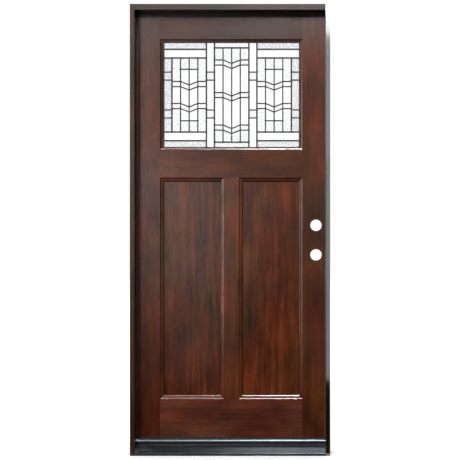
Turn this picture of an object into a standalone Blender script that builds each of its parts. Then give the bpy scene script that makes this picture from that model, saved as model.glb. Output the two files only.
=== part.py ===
"""A pre-hung front door: a stained timber leaf with a leaded light over two flat panels, hung on
three butt hinges in its rabbeted frame, with a black threshold.

Metres, +Z up. The origin is the middle of the threshold's underside. -Y is outdoors, +Y is
indoors, and the hinges are at -X. The leaf swings inwards, about the hinge pins.
"""

import cmath
import math

import bmesh
import bpy
from mathutils import Matrix, Vector

# Door leaf
DOOR_WIDTH = 0.899
DOOR_HEIGHT = 2.004
DOOR_THICKNESS = 0.04445
STILE_WIDTH = 0.1125
TOP_RAIL_WIDTH = 0.126
LOCK_RAIL_WIDTH = 0.1305
BOTTOM_RAIL_WIDTH = 0.179
MULLION_WIDTH = 0.070
GLASS_OPENING_HEIGHT = 0.523

# Flat panels, tongued into a groove round each opening
PANEL_THICKNESS = 0.0188
GROOVE_DEPTH = 0.010
PANEL_EXPANSION_ROOM = 0.0015

# Sticking, the moulded edge of the stiles and rails: a round, a cove and a second round
STICKING_WIDTH = 0.0185
GLASS_STICKING_WIDTH = 0.0115
OUTER_ROUND_WIDTH = 0.0035
OUTER_ROUND_DEPTH = 0.0030
COVE_DEPTH = 0.0052
COVE_HOLLOW = 0.0007
OUTER_ROUND_BULGE = 0.0008
INNER_ROUND_BULGE = 0.0016

# Insulated glass: two clear panes with the leaded light sealed between them
GLASS_SHOULDER_DEPTH = 0.010
PANE_THICKNESS = 0.0032
SPACER_THICKNESS = 0.0030
SPACER_WIDTH = 0.0065
GLASS_EDGE_ROOM = 0.0035

# Leaded light
CAME_WIDTH = 0.0060
CAME_THICKNESS = 0.0052
BORDER_SHOWING_SIDES = 0.0075
BORDER_SHOWING_ENDS = 0.0040
BORDER_COLUMN_WIDTH = 0.038
TILE_HEIGHT = 0.038
OUTER_BAND_HEIGHT = 0.0325
INNER_BAND_HEIGHT = 0.041
MIDDLE_BAND_HEIGHT = 0.0255
CHEVRON_BAND_HEIGHT = 0.0242
CHEVRON_DROP = 0.0165
# Heights over the light's middle, as shares of half its height
TILE_CENTRE_SHARE = 0.360
SIDE_CHEVRON_SHARE = 0.209
SHORT_BAR_SHARE = 0.489
MIDDLE_CHEVRON_SHARE = 0.619

# Lock preparation
BORE_DIAMETER = 0.054
LATCH_BORE_DIAMETER = 0.0254
BORE_SPACING = 0.1397
BACKSET = 0.050
HANDLE_BORE_HEIGHT = 0.8595

# Frame
JAMB_DEPTH = 0.116
JAMB_THICKNESS = 0.012
HEAD_THICKNESS = 0.018
STOP_HEIGHT = 0.0095
SIDE_GAP = 0.003
HEAD_GAP = 0.003
KERF_WIDTH = 0.0027
KERF_DEPTH = 0.008
STRIP_ROOM = 0.005
STRIP_OVERHANG = 0.002
ARRIS = 0.0010

# Threshold
CAP_TOP = 0.062
CAP_THICKNESS = 0.0185
CAP_NOSE = 0.0195
SWEEP_HEIGHT = 0.008
SWEEP_INSET = 0.0015
DECK_THICKNESS = 0.002
NOSE_HEIGHT = 0.0115
NOSE_ROUND = 0.0015
DECK_BACK_HEIGHT = 0.031
DECK_RUN = 0.046
GUTTER_RUN = 0.013

# Butt hinges
HINGE_HEIGHT = 0.102
LEAF_THICKNESS = 0.0027
LEAF_WIDTH = 0.036
KNUCKLE_COUNT = 5
KNUCKLE_RADIUS = 0.00635
PIN_RADIUS = 0.0030
PIN_HEAD_RADIUS = 0.0050
PIN_HEAD_HEIGHT = 0.0025
PIN_STANDOFF = 0.0069
SCREW_RADIUS = 0.0024
SCREW_HEAD_RADIUS = 0.0046
SCREW_END_ROOM = 0.014
SCREW_STAGGER = 0.0065
TOP_HINGE_DROP = 0.229
BOTTOM_HINGE_RISE = 0.279

# Clearances
SEAT_GAP = 0.0003
JOINT_GAP = 0.0003
BORE_CLEARANCE = 0.00025
SCREW_OVERCUT = 0.0002
OVERCUT = 0.002

# Places that follow from the sizes
DOOR_BOTTOM = CAP_TOP + SWEEP_HEIGHT
DOOR_TOP = DOOR_BOTTOM + DOOR_HEIGHT
UNIT_HEIGHT = DOOR_TOP + HEAD_GAP + HEAD_THICKNESS
HALF_DOOR = DOOR_WIDTH / 2
HALF_RABBET = HALF_DOOR + SIDE_GAP
HALF_FRAME = HALF_RABBET + JAMB_THICKNESS
HALF_PASSAGE = HALF_RABBET - STOP_HEIGHT
OUTDOORS = -JAMB_DEPTH / 2
INDOORS = JAMB_DEPTH / 2
DOOR_FACE = INDOORS - DOOR_THICKNESS
SHOULDER = DOOR_FACE - STRIP_ROOM
RABBET_TOP = DOOR_TOP + HEAD_GAP
STOP_UNDERSIDE = RABBET_TOP - STOP_HEIGHT
HALF_OPENING = HALF_DOOR - STILE_WIDTH
PANEL_BASE = DOOR_BOTTOM + BOTTOM_RAIL_WIDTH
GLASS_TOP = DOOR_TOP - TOP_RAIL_WIDTH
GLASS_BASE = GLASS_TOP - GLASS_OPENING_HEIGHT
PANEL_TOP = GLASS_BASE - LOCK_RAIL_WIDTH
PANEL_RECESS = (DOOR_THICKNESS - PANEL_THICKNESS) / 2 - SEAT_GAP
PIN_X = -(HALF_DOOR + SIDE_GAP / 2)
PIN_Y = INDOORS + PIN_STANDOFF
HINGE_HEIGHTS = (
    DOOR_BOTTOM + BOTTOM_HINGE_RISE,
    (DOOR_BOTTOM + BOTTOM_HINGE_RISE + DOOR_TOP - TOP_HINGE_DROP) / 2,
    DOOR_TOP - TOP_HINGE_DROP,
)
BORE_X = HALF_DOOR - BACKSET
BORE_HEIGHTS = (DOOR_BOTTOM + HANDLE_BORE_HEIGHT, DOOR_BOTTOM + HANDLE_BORE_HEIGHT + BORE_SPACING)

# Smoothness of the faceted rounds
BORE_SIDES = 48
KNUCKLE_SIDES = 24
PIN_SIDES = 16
SCREW_SIDES = 12
ARC_STEPS = 3
INNER_ROUND_STEPS = 4
BULB_STEPS = 6
CAP_STEPS = 8
MERGE_DISTANCE = 1e-6
SHARP_ANGLE = math.radians(35)

# A flat outline is drawn in x and y and thickened along z. These turn it to where it belongs.
PLAN = Matrix.Identity(4)
ELEVATION = Matrix.Rotation(math.radians(90), 4, "X")
SECTION = Matrix(((0, 0, 1, 0), (1, 0, 0, 0), (0, 1, 0, 0), (0, 0, 0, 1)))


def clear_scene():
    for obj in list(bpy.data.objects):
        bpy.data.objects.remove(obj, do_unlink=True)


def new_collection(name, parent):
    collection = bpy.data.collections.new(name)
    parent.children.link(collection)
    return collection


def new_material(name, colour, roughness, metallic=0.0, transmission=0.0):
    made = bpy.data.materials.new(name)
    made.use_nodes = True
    shader = made.node_tree.nodes["Principled BSDF"]
    shader.inputs["Base Color"].default_value = (*colour, 1.0)
    shader.inputs["Roughness"].default_value = roughness
    shader.inputs["Metallic"].default_value = metallic
    shader.inputs["Transmission Weight"].default_value = transmission
    made.diffuse_color = (*colour, 1.0)
    return made


def add_object(name, data, collection, material=None):
    obj = bpy.data.objects.new(name, data)
    collection.objects.link(obj)
    if material is not None:
        data.materials.append(material)
    return obj


def as_cutter(obj):
    obj.hide_render = True
    obj.display_type = "WIRE"
    return obj


def box(name, low, high, collection, material=None):
    """A box between two corners, in world coordinates."""
    low, high = Vector(low), Vector(high)
    mesh = bpy.data.meshes.new(name)
    shape = bmesh.new()
    size = Matrix.Diagonal((*(high - low), 1.0))
    bmesh.ops.create_cube(shape, size=1.0, matrix=Matrix.Translation((low + high) / 2) @ size)
    shape.to_mesh(mesh)
    shape.free()
    return add_object(name, mesh, collection, material)


def cylinder(name, radius, length, place, collection, sides, end_radius=None):
    """A cylinder, or a cone where end_radius is given, centred on place's origin along its z."""
    mesh = bpy.data.meshes.new(name)
    shape = bmesh.new()
    bmesh.ops.create_cone(
        shape,
        cap_ends=True,
        segments=sides,
        radius1=radius,
        radius2=radius if end_radius is None else end_radius,
        depth=length,
        matrix=place,
    )
    shape.to_mesh(mesh)
    shape.free()
    return add_object(name, mesh, collection)


def outline(name, rings, start, end, turn, collection, material=None):
    """Closed rings of points, the first outside and the rest holes, thickened from start to end."""
    curve = bpy.data.curves.new(name, "CURVE")
    curve.dimensions = "2D"
    curve.fill_mode = "BOTH"
    curve.extrude = (end - start) / 2
    for ring in rings:
        spline = curve.splines.new("POLY")
        spline.points.add(len(ring) - 1)
        spline.use_cyclic_u = True
        for point, (x, y) in zip(spline.points, ring):
            point.co = (x, y, 0.0, 1.0)
    obj = add_object(name, curve, collection, material)
    obj.matrix_world = turn @ Matrix.Translation((0.0, 0.0, (start + end) / 2))
    return obj


def solid_outline(name, ring, start, end, turn, collection, material=None):
    """The same from one ring, as a mesh with one face at each end, which a Boolean can cut."""
    flat = outline(name, [ring], start, end, turn, collection)
    bpy.context.view_layer.update()
    graph = bpy.context.evaluated_depsgraph_get()
    mesh = bpy.data.meshes.new_from_object(flat.evaluated_get(graph))
    shape = bmesh.new()
    shape.from_mesh(mesh)
    bmesh.ops.remove_doubles(shape, verts=shape.verts, dist=MERGE_DISTANCE)
    ends = [face for face in shape.faces if len({round(v.co.z, 6) for v in face.verts}) == 1]
    bmesh.ops.delete(shape, geom=ends, context="FACES")
    bmesh.ops.holes_fill(shape, edges=shape.edges)
    bmesh.ops.recalc_face_normals(shape, faces=shape.faces)
    shape.to_mesh(mesh)
    shape.free()
    world, curve = flat.matrix_world.copy(), flat.data
    bpy.data.objects.remove(flat, do_unlink=True)
    bpy.data.curves.remove(curve)
    obj = add_object(name, mesh, collection, material)
    obj.matrix_world = world
    return obj


def settled(obj, collection, material):
    """The shape with its modifiers applied, so that copies can share one mesh."""
    bpy.context.view_layer.update()
    graph = bpy.context.evaluated_depsgraph_get()
    mesh = bpy.data.meshes.new_from_object(obj.evaluated_get(graph))
    mesh.materials.clear()
    mesh.materials.append(material)
    shade_round(mesh)
    as_cutter(obj)
    return mesh


def shade_round(mesh):
    mesh.shade_smooth()
    mesh.set_sharp_from_angle(angle=SHARP_ANGLE)


def combine(obj, other, operation="DIFFERENCE"):
    modifier = obj.modifiers.new(f"{operation.lower()} {other.name}", "BOOLEAN")
    modifier.operation = operation
    modifier.object = other
    modifier.solver = "EXACT"
    return obj


def arc(start, end, bulge, steps=ARC_STEPS):
    """Points after start up to end on the circle that stands bulge off the chord, to its left."""
    start, end = complex(*start), complex(*end)
    turn = 4 * math.atan2(2 * bulge, abs(end - start))
    centre = (start + end) / 2 - 1j * (end - start) / (2 * math.tan(turn / 2))
    spoke = start - centre
    points = [centre + spoke * cmath.rect(1, -turn * step / steps) for step in range(1, steps + 1)]
    return [(point.real, point.imag) for point in points]


def sticking():
    """The moulded edge as (offset into the opening, depth below the face), down to the panel."""
    corner = (OUTER_ROUND_WIDTH, OUTER_ROUND_DEPTH)
    bead = (GLASS_STICKING_WIDTH, COVE_DEPTH)
    foot = (STICKING_WIDTH, PANEL_RECESS)
    points = [(0.0, 0.0)]
    points += arc((0.0, 0.0), corner, -OUTER_ROUND_BULGE)
    points += arc(corner, bead, COVE_HOLLOW)
    points += arc(bead, foot, -INNER_ROUND_BULGE, INNER_ROUND_STEPS)
    return points


def glass_sticking():
    """The same edge, stopped where the glass begins."""
    return sticking()[: 1 + 2 * ARC_STEPS]


def other_face(points):
    """A moulded edge read from the indoor face, in order of depth."""
    return [(offset, DOOR_THICKNESS - depth) for offset, depth in reversed(points)]


def opening_cutter(name, left, right, base, top, rings, collection):
    """The hollow of an opening: rectangles that shrink by each ring's offset at its depth."""
    mesh = bpy.data.meshes.new(name)
    shape = bmesh.new()
    loops = []
    for offset, depth in rings:
        corners = (
            (left + offset, base + offset),
            (right - offset, base + offset),
            (right - offset, top - offset),
            (left + offset, top - offset),
        )
        loops.append([shape.verts.new((x, DOOR_FACE + depth, z)) for x, z in corners])
    for front, back in zip(loops, loops[1:]):
        for side in range(4):
            after = (side + 1) % 4
            shape.faces.new((front[side], front[after], back[after], back[side]))
    shape.faces.new(loops[0])
    shape.faces.new(loops[-1])
    bmesh.ops.recalc_face_normals(shape, faces=shape.faces)
    shape.to_mesh(mesh)
    shape.free()
    return as_cutter(add_object(name, mesh, collection))


def panel_rings():
    """An opening's hollow for a flat panel, with the groove that its tongue sits in."""
    groove = STICKING_WIDTH - GROOVE_DEPTH
    front = sticking()
    back = other_face(front)
    return (
        [(0.0, -OVERCUT)]
        + front
        + [(groove, PANEL_RECESS), (groove, DOOR_THICKNESS - PANEL_RECESS)]
        + back
        + [(0.0, DOOR_THICKNESS + OVERCUT)]
    )


def glass_rings():
    """The light's hollow: sticking outdoors, then a rabbet that is open to the indoor face."""
    return (
        [(0.0, -OVERCUT)]
        + glass_sticking()
        + [
            (GLASS_STICKING_WIDTH, GLASS_SHOULDER_DEPTH),
            (0.0, GLASS_SHOULDER_DEPTH),
            (0.0, DOOR_THICKNESS + OVERCUT),
        ]
    )


def member_outline(left, right, base, top, bumps):
    """A stile, rail or mullion in elevation. bumps maps each side that meets other members to
    the openings along it, as (start, end, reach). There the moulded edge stands out, mitred."""
    ease = JOINT_GAP / 2
    left += ease * ("left" in bumps)
    right -= ease * ("right" in bumps)
    base += ease * ("base" in bumps)
    top -= ease * ("top" in bumps)
    points = [(left, base)]
    for start, end, reach in bumps.get("base", ()):
        start, end = start + ease, end - ease
        points += [(start, base), (start + reach, base - reach)]
        points += [(end - reach, base - reach), (end, base)]
    points.append((right, base))
    for start, end, reach in bumps.get("right", ()):
        start, end = start + ease, end - ease
        points += [(right, start), (right + reach, start + reach)]
        points += [(right + reach, end - reach), (right, end)]
    points.append((right, top))
    for start, end, reach in reversed(bumps.get("top", ())):
        start, end = start + ease, end - ease
        points += [(end, top), (end - reach, top + reach)]
        points += [(start + reach, top + reach), (start, top)]
    points.append((left, top))
    for start, end, reach in reversed(bumps.get("left", ())):
        start, end = start + ease, end - ease
        points += [(left, end), (left - reach, end - reach)]
        points += [(left - reach, start + reach), (left, start)]
    return [p for p, q in zip(points, points[1:] + points[:1]) if math.dist(p, q) > 1e-6]


def build_leaf_frame(door, cutters, timber):
    """Stiles, rails and mullion, each cut to the openings' moulded edges."""
    half_mullion = MULLION_WIDTH / 2
    sides = {
        "left_panel": (-HALF_OPENING, -half_mullion, PANEL_BASE, PANEL_TOP, panel_rings()),
        "right_panel": (half_mullion, HALF_OPENING, PANEL_BASE, PANEL_TOP, panel_rings()),
        "light": (-HALF_OPENING, HALF_OPENING, GLASS_BASE, GLASS_TOP, glass_rings()),
    }
    hollows = {
        name: opening_cutter(f"hollow_{name}", *sizes, cutters) for name, sizes in sides.items()
    }
    panel_reach = STICKING_WIDTH + OVERCUT
    glass_reach = GLASS_STICKING_WIDTH + OVERCUT
    panel_rise = (PANEL_BASE, PANEL_TOP, panel_reach)
    light_rise = (GLASS_BASE, GLASS_TOP, glass_reach)
    left_run = (-HALF_OPENING, -half_mullion, panel_reach)
    right_run = (half_mullion, HALF_OPENING, panel_reach)
    light_run = (-HALF_OPENING, HALF_OPENING, glass_reach)
    stile_span = (DOOR_BOTTOM, DOOR_TOP)
    rail_span = (-HALF_OPENING, HALF_OPENING)
    members = {
        "hinge_stile": (
            (-HALF_DOOR, -HALF_OPENING, *stile_span, {"right": (panel_rise, light_rise)}),
            ("left_panel", "light"),
        ),
        "lock_stile": (
            (HALF_OPENING, HALF_DOOR, *stile_span, {"left": (panel_rise, light_rise)}),
            ("right_panel", "light"),
        ),
        "top_rail": (
            (*rail_span, GLASS_TOP, DOOR_TOP, {"left": (), "right": (), "base": (light_run,)}),
            ("light",),
        ),
        "lock_rail": (
            (
                *rail_span,
                PANEL_TOP,
                GLASS_BASE,
                {"left": (), "right": (), "top": (light_run,), "base": (left_run, right_run)},
            ),
            ("light", "left_panel", "right_panel"),
        ),
        "bottom_rail": (
            (
                *rail_span,
                DOOR_BOTTOM,
                PANEL_BASE,
                {"left": (), "right": (), "top": (left_run, right_run)},
            ),
            ("left_panel", "right_panel"),
        ),
        "mullion": (
            (
                -half_mullion,
                half_mullion,
                PANEL_BASE,
                PANEL_TOP,
                {"left": (panel_rise,), "right": (panel_rise,), "base": (), "top": ()},
            ),
            ("left_panel", "right_panel"),
        ),
    }
    made = {}
    for name, (sizes, openings) in members.items():
        ring = member_outline(*sizes)
        member = solid_outline(name, ring, -INDOORS, -DOOR_FACE, ELEVATION, door, timber)
        for opening in openings:
            combine(member, hollows[opening])
        made[name] = member
    return made


def build_panels(door, timber):
    """Two flat panels, with room in their grooves to swell."""
    edge = STICKING_WIDTH - GROOVE_DEPTH + PANEL_EXPANSION_ROOM
    near = DOOR_FACE + (DOOR_THICKNESS - PANEL_THICKNESS) / 2
    half_mullion = MULLION_WIDTH / 2
    for name, left, right in (
        ("left_panel", -HALF_OPENING, -half_mullion),
        ("right_panel", half_mullion, HALF_OPENING),
    ):
        low = (left + edge, near, PANEL_BASE + edge)
        high = (right - edge, near + PANEL_THICKNESS, PANEL_TOP - edge)
        box(name, low, high, door, timber)


def light_columns(half_width, half_height):
    """The leaded light as columns: (left, right, [(height at left, height at right), ...]),
    where each pair is the centre line of one came that crosses the column."""
    cell = (2 * half_width - 4 * BORDER_COLUMN_WIDTH) / 12
    side_top = half_height - OUTER_BAND_HEIGHT - INNER_BAND_HEIGHT
    middle_top = half_height - MIDDLE_BAND_HEIGHT
    tile = half_height * TILE_CENTRE_SHARE
    half_tile = TILE_HEIGHT / 2
    half_band = CHEVRON_BAND_HEIGHT / 2
    short_bar = half_height * SHORT_BAR_SHARE
    tiles = [side * tile + edge for side in (-1, 1) for edge in (-half_tile, half_tile)]

    def chevrons(share, sides):
        return [side * half_height * share + edge for side in sides for edge in (-half_band, half_band)]

    widths = ([BORDER_COLUMN_WIDTH] + [cell] * 4) * 3 + [BORDER_COLUMN_WIDTH]
    drops = {1: (0, 0), 2: (0, 1), 3: (1, 0), 4: (0, 0)}
    columns = []
    left = -half_width
    for index, width in enumerate(widths):
        place = index % 5
        ends = half_height if index in (5, 10) else middle_top if 5 < index < 10 else side_top
        heights = [(-ends, -ends), (ends, ends)]
        if place == 0:
            heights += [(z, z) for z in tiles]
        else:
            middle = 5 < index < 10
            bands = (
                chevrons(MIDDLE_CHEVRON_SHARE, (-1, 0, 1))
                if middle
                else chevrons(SIDE_CHEVRON_SHARE, (-1, 1))
            )
            start, end = drops[place]
            heights += [(z - start * CHEVRON_DROP, z - end * CHEVRON_DROP) for z in bands]
            if place in (2, 3) and not middle:
                heights += [(-short_bar, -short_bar), (short_bar, short_bar)]
        columns.append((left, left + width, sorted(heights)))
        left += width
    return columns


def light_cells(half_width, half_height):
    """The clear window of each piece of glass, as four corners inside its cames."""
    half_came = CAME_WIDTH / 2
    columns = light_columns(half_width, half_height)
    cells = []

    def window(left, right, below, above):
        slant = math.hypot(1.0, CHEVRON_DROP / (right - left))
        corners = []
        for x, low in ((left + half_came, below), (right - half_came, below)):
            share = (x - left) / (right - left)
            rise = half_came * (slant if low[0] != low[1] else 1.0)
            corners.append((x, low[0] + (low[1] - low[0]) * share + rise))
        for x, high in ((right - half_came, above), (left + half_came, above)):
            share = (x - left) / (right - left)
            fall = half_came * (slant if high[0] != high[1] else 1.0)
            corners.append((x, high[0] + (high[1] - high[0]) * share - fall))
        return corners

    for left, right, heights in columns:
        for below, above in zip(heights, heights[1:]):
            cells.append(window(left, right, below, above))
    side_bands = (OUTER_BAND_HEIGHT, INNER_BAND_HEIGHT)
    for first, last, bands in ((0, 4, side_bands), (6, 9, (MIDDLE_BAND_HEIGHT,)), (11, 15, side_bands)):
        left, right = columns[first][0], columns[last][1]
        outer = half_height
        for band in bands:
            inner = outer - band
            for low, high in ((-outer, -inner), (inner, outer)):
                cells.append(window(left, right, (low, low), (high, high)))
            outer = inner
    return cells


def frame_ring(half_width, half_height, centre_z):
    return [
        (-half_width, centre_z - half_height),
        (half_width, centre_z - half_height),
        (half_width, centre_z + half_height),
        (-half_width, centre_z + half_height),
    ]


def build_glass(door, cutters, clear, metal, spacer_metal, timber):
    """The sealed glass unit and the four mitred stops that hold it in from indoors."""
    centre_z = (GLASS_BASE + GLASS_TOP) / 2
    half_height = GLASS_OPENING_HEIGHT / 2
    unit_x = HALF_OPENING - GLASS_EDGE_ROOM
    unit_z = half_height - GLASS_EDGE_ROOM
    depth = GLASS_SHOULDER_DEPTH

    def next_layer(thickness):
        nonlocal depth
        near = DOOR_FACE + depth + SEAT_GAP
        depth += SEAT_GAP + thickness
        return near, near + thickness

    def pane(name):
        near, far = next_layer(PANE_THICKNESS)
        low = (-unit_x, near, centre_z - unit_z)
        high = (unit_x, far, centre_z + unit_z)
        box(name, low, high, door, clear)

    def spacer(name):
        near, far = next_layer(SPACER_THICKNESS)
        rings = [
            frame_ring(unit_x - SEAT_GAP, unit_z - SEAT_GAP, centre_z),
            frame_ring(unit_x - SPACER_WIDTH, unit_z - SPACER_WIDTH, centre_z),
        ]
        outline(name, rings, -far, -near, ELEVATION, door, spacer_metal)

    def light(name):
        near, far = next_layer(CAME_THICKNESS)
        sight_x = HALF_OPENING - GLASS_STICKING_WIDTH
        sight_z = GLASS_OPENING_HEIGHT / 2 - GLASS_STICKING_WIDTH
        half_width = sight_x - BORDER_SHOWING_SIDES + CAME_WIDTH / 2
        half_height = sight_z - BORDER_SHOWING_ENDS + CAME_WIDTH / 2
        rings = [frame_ring(unit_x - SEAT_GAP, unit_z - SEAT_GAP, centre_z)]
        for cell in light_cells(half_width, half_height):
            rings.append([(x, z + centre_z) for x, z in cell])
        outline(name, rings, -far, -near, ELEVATION, door, metal)

    pane("outer_pane")
    spacer("outer_spacer")
    light("leaded_came")
    spacer("inner_spacer")
    pane("inner_pane")

    stop_start = depth + SEAT_GAP
    sight_rings = [(GLASS_STICKING_WIDTH, stop_start - OVERCUT)]
    sight_rings += other_face(glass_sticking()) + [(0.0, DOOR_THICKNESS + OVERCUT)]
    edges = (-HALF_OPENING, HALF_OPENING, GLASS_BASE, GLASS_TOP)
    sight = opening_cutter("hollow_stops", *edges, sight_rings, cutters)
    wide = HALF_OPENING - SEAT_GAP
    low, high = GLASS_BASE + SEAT_GAP, GLASS_TOP - SEAT_GAP
    reach = GLASS_STICKING_WIDTH + OVERCUT
    ease = JOINT_GAP
    stops = {
        "glazing_stop_top": [
            (wide - ease, high),
            (-wide + ease, high),
            (-wide + ease + reach, high - reach),
            (wide - ease - reach, high - reach),
        ],
        "glazing_stop_bottom": [
            (-wide + ease, low),
            (wide - ease, low),
            (wide - ease - reach, low + reach),
            (-wide + ease + reach, low + reach),
        ],
        "glazing_stop_left": [
            (-wide, low + ease),
            (-wide + reach, low + reach + ease),
            (-wide + reach, high - reach - ease),
            (-wide, high - ease),
        ],
        "glazing_stop_right": [
            (wide, low + ease),
            (wide, high - ease),
            (wide - reach, high - reach - ease),
            (wide - reach, low + reach + ease),
        ],
    }
    for name, ring in stops.items():
        back = -(DOOR_FACE + stop_start)
        combine(solid_outline(name, ring, -INDOORS, back, ELEVATION, door, timber), sight)


def bore_lock_stile(lock_stile, cutters):
    """Two face bores for a handle set and a deadbolt, each with its latch bore to the edge."""
    through = DOOR_THICKNESS + 2 * OVERCUT
    middle = DOOR_FACE + DOOR_THICKNESS / 2
    for label, height in zip(("handle", "deadbolt"), BORE_HEIGHTS):
        place = Matrix.Translation((BORE_X, middle, height)) @ ELEVATION
        bore = cylinder(
            f"{label}_bore", BORE_DIAMETER / 2, through, place, cutters, BORE_SIDES
        )
        combine(lock_stile, as_cutter(bore))
        run = BACKSET + OVERCUT
        place = Matrix.Translation((BORE_X + run / 2, middle, height)) @ SECTION
        latch = cylinder(
            f"{label}_latch_bore", LATCH_BORE_DIAMETER / 2, run, place, cutters, KNUCKLE_SIDES
        )
        combine(lock_stile, as_cutter(latch))


def build_sweep(door, rubber):
    """The soft strip under the leaf that closes on the threshold cap."""
    low = (-HALF_DOOR + SWEEP_INSET, DOOR_FACE + SWEEP_INSET, CAP_TOP + SEAT_GAP)
    high = (HALF_DOOR - SWEEP_INSET, INDOORS - SWEEP_INSET, DOOR_BOTTOM - SEAT_GAP)
    box("door_sweep", low, high, door, rubber)


def jamb_section(thickness):
    """A jamb in section as (distance from its back, y): a stop, then the rabbet for the leaf,
    with a kerf in the rabbet's corner for the weatherstrip."""
    stop = thickness + STOP_HEIGHT
    return [
        (0.0, OUTDOORS),
        (stop - ARRIS, OUTDOORS),
        (stop, OUTDOORS + ARRIS),
        (stop, SHOULDER),
        (thickness + KERF_WIDTH, SHOULDER),
        (thickness + KERF_WIDTH, SHOULDER - KERF_DEPTH),
        (thickness, SHOULDER - KERF_DEPTH),
        (thickness, INDOORS - ARRIS),
        (thickness - ARRIS, INDOORS),
        (0.0, INDOORS),
    ]


def strip_section(thickness):
    """A weatherstrip in section: a fin in the kerf and a soft bulb that the leaf closes on."""
    stop = thickness + STOP_HEIGHT
    near, far = SHOULDER + SEAT_GAP, DOOR_FACE - SEAT_GAP
    tip = stop + STRIP_OVERHANG
    round_start = tip - (far - near) / 2
    points = [
        (thickness + SEAT_GAP, SHOULDER - KERF_DEPTH + SEAT_GAP),
        (thickness + KERF_WIDTH - SEAT_GAP, SHOULDER - KERF_DEPTH + SEAT_GAP),
        (thickness + KERF_WIDTH - SEAT_GAP, near),
        (round_start, near),
    ]
    points += arc((round_start, near), (round_start, far), -(far - near) / 2, BULB_STEPS)
    points.append((thickness + SEAT_GAP, far))
    return points


def build_jambs(frame, cutters, timber):
    """Two legs and the head, which is coped over the legs' stops."""
    leg_stops = []
    for side in (-1, 1):
        near, far = sorted((side * (HALF_PASSAGE - SEAT_GAP), side * (HALF_FRAME + OVERCUT)))
        low = (near, OUTDOORS - OVERCUT, -OVERCUT)
        high = (far, SHOULDER + SEAT_GAP, UNIT_HEIGHT + OVERCUT)
        leg_stops.append(as_cutter(box(f"leg_stop_room_{side}", low, high, cutters)))
    legs = {}
    for name, side in (("hinge_jamb", -1), ("lock_jamb", 1)):
        ring = [(side * (HALF_FRAME - away), y) for away, y in jamb_section(JAMB_THICKNESS)]
        legs[name] = solid_outline(name, ring, 0.0, UNIT_HEIGHT, PLAN, frame, timber)
    ring = [(y, UNIT_HEIGHT - away) for away, y in jamb_section(HEAD_THICKNESS)]
    reach = HALF_RABBET - SEAT_GAP
    head = solid_outline("head_jamb", ring, -reach, reach, SECTION, frame, timber)
    for room in leg_stops:
        combine(head, room)
    return legs["hinge_jamb"], leg_stops


def build_weatherstrips(frame, rubber):
    base, top = CAP_TOP + SEAT_GAP, RABBET_TOP - SEAT_GAP
    for name, side in (("hinge_side_weatherstrip", -1), ("lock_side_weatherstrip", 1)):
        ring = [(side * (HALF_FRAME - away), y) for away, y in strip_section(JAMB_THICKNESS)]
        outline(name, [ring], base, top, PLAN, frame, rubber)
    ring = [(y, UNIT_HEIGHT - away) for away, y in strip_section(HEAD_THICKNESS)]
    reach = HALF_PASSAGE - STRIP_OVERHANG - SEAT_GAP
    outline("head_weatherstrip", [ring], -reach, reach, SECTION, frame, rubber)


def build_threshold(frame, leg_stops, composite, metal, cap_finish):
    """A composite base, a sloping metal deck and the adjustable cap that the leaf closes over."""
    deck_back = OUTDOORS + DECK_RUN
    gutter_back = deck_back + GUTTER_RUN
    skin = DECK_THICKNESS
    slope = (DECK_BACK_HEIGHT - NOSE_HEIGHT) / (DECK_RUN - NOSE_ROUND)
    nose = (OUTDOORS, NOSE_HEIGHT - NOSE_ROUND)
    deck = [(OUTDOORS, 0.0), nose]
    quarter_bulge = NOSE_ROUND * (1 - math.sqrt(0.5))
    deck += arc(nose, (OUTDOORS + NOSE_ROUND, NOSE_HEIGHT), quarter_bulge)
    deck += [
        (deck_back, DECK_BACK_HEIGHT),
        (gutter_back, DECK_BACK_HEIGHT),
        (gutter_back, DECK_BACK_HEIGHT - skin),
        (deck_back + skin * slope / 2, DECK_BACK_HEIGHT - skin),
        (OUTDOORS + skin, NOSE_HEIGHT - skin),
        (OUTDOORS + skin, 0.0),
    ]
    deck_reach = HALF_PASSAGE - SEAT_GAP
    outline("sill_deck", [deck], -deck_reach, deck_reach, SECTION, frame, metal)

    under = skin + SEAT_GAP
    cap_base = CAP_TOP - CAP_THICKNESS
    base = [
        (OUTDOORS + under, 0.0),
        (INDOORS, 0.0),
        (INDOORS, cap_base - SEAT_GAP),
        (gutter_back + SEAT_GAP, cap_base - SEAT_GAP),
        (gutter_back + SEAT_GAP, DECK_BACK_HEIGHT - under),
        (deck_back + under * slope / 2, DECK_BACK_HEIGHT - under),
        (OUTDOORS + under, NOSE_HEIGHT - under - slope * SEAT_GAP),
    ]
    cap_front = DOOR_FACE - CAP_NOSE
    round_start = cap_front + CAP_THICKNESS / 2
    cap = [(round_start, CAP_TOP)]
    nosing = CAP_THICKNESS / 2
    cap += arc((round_start, CAP_TOP), (round_start, cap_base), -nosing, CAP_STEPS)
    cap += [(INDOORS, cap_base), (INDOORS, CAP_TOP - ARRIS), (INDOORS - ARRIS, CAP_TOP)]
    reach = HALF_RABBET - SEAT_GAP
    for name, ring, finish in (("sill_base", base, composite), ("sill_cap", cap, cap_finish)):
        piece = solid_outline(name, ring, -reach, reach, SECTION, frame, finish)
        for room in leg_stops:
            combine(piece, room)


def screw_places():
    """The four staggered screws of a hinge leaf, as (y, height) about the pin."""
    middle = -PIN_STANDOFF - LEAF_WIDTH / 2
    pitch = (HINGE_HEIGHT - 2 * SCREW_END_ROOM) / 3
    for row in range(4):
        stagger = SCREW_STAGGER if row % 2 else -SCREW_STAGGER
        yield middle + stagger, SCREW_END_ROOM + row * pitch


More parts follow.
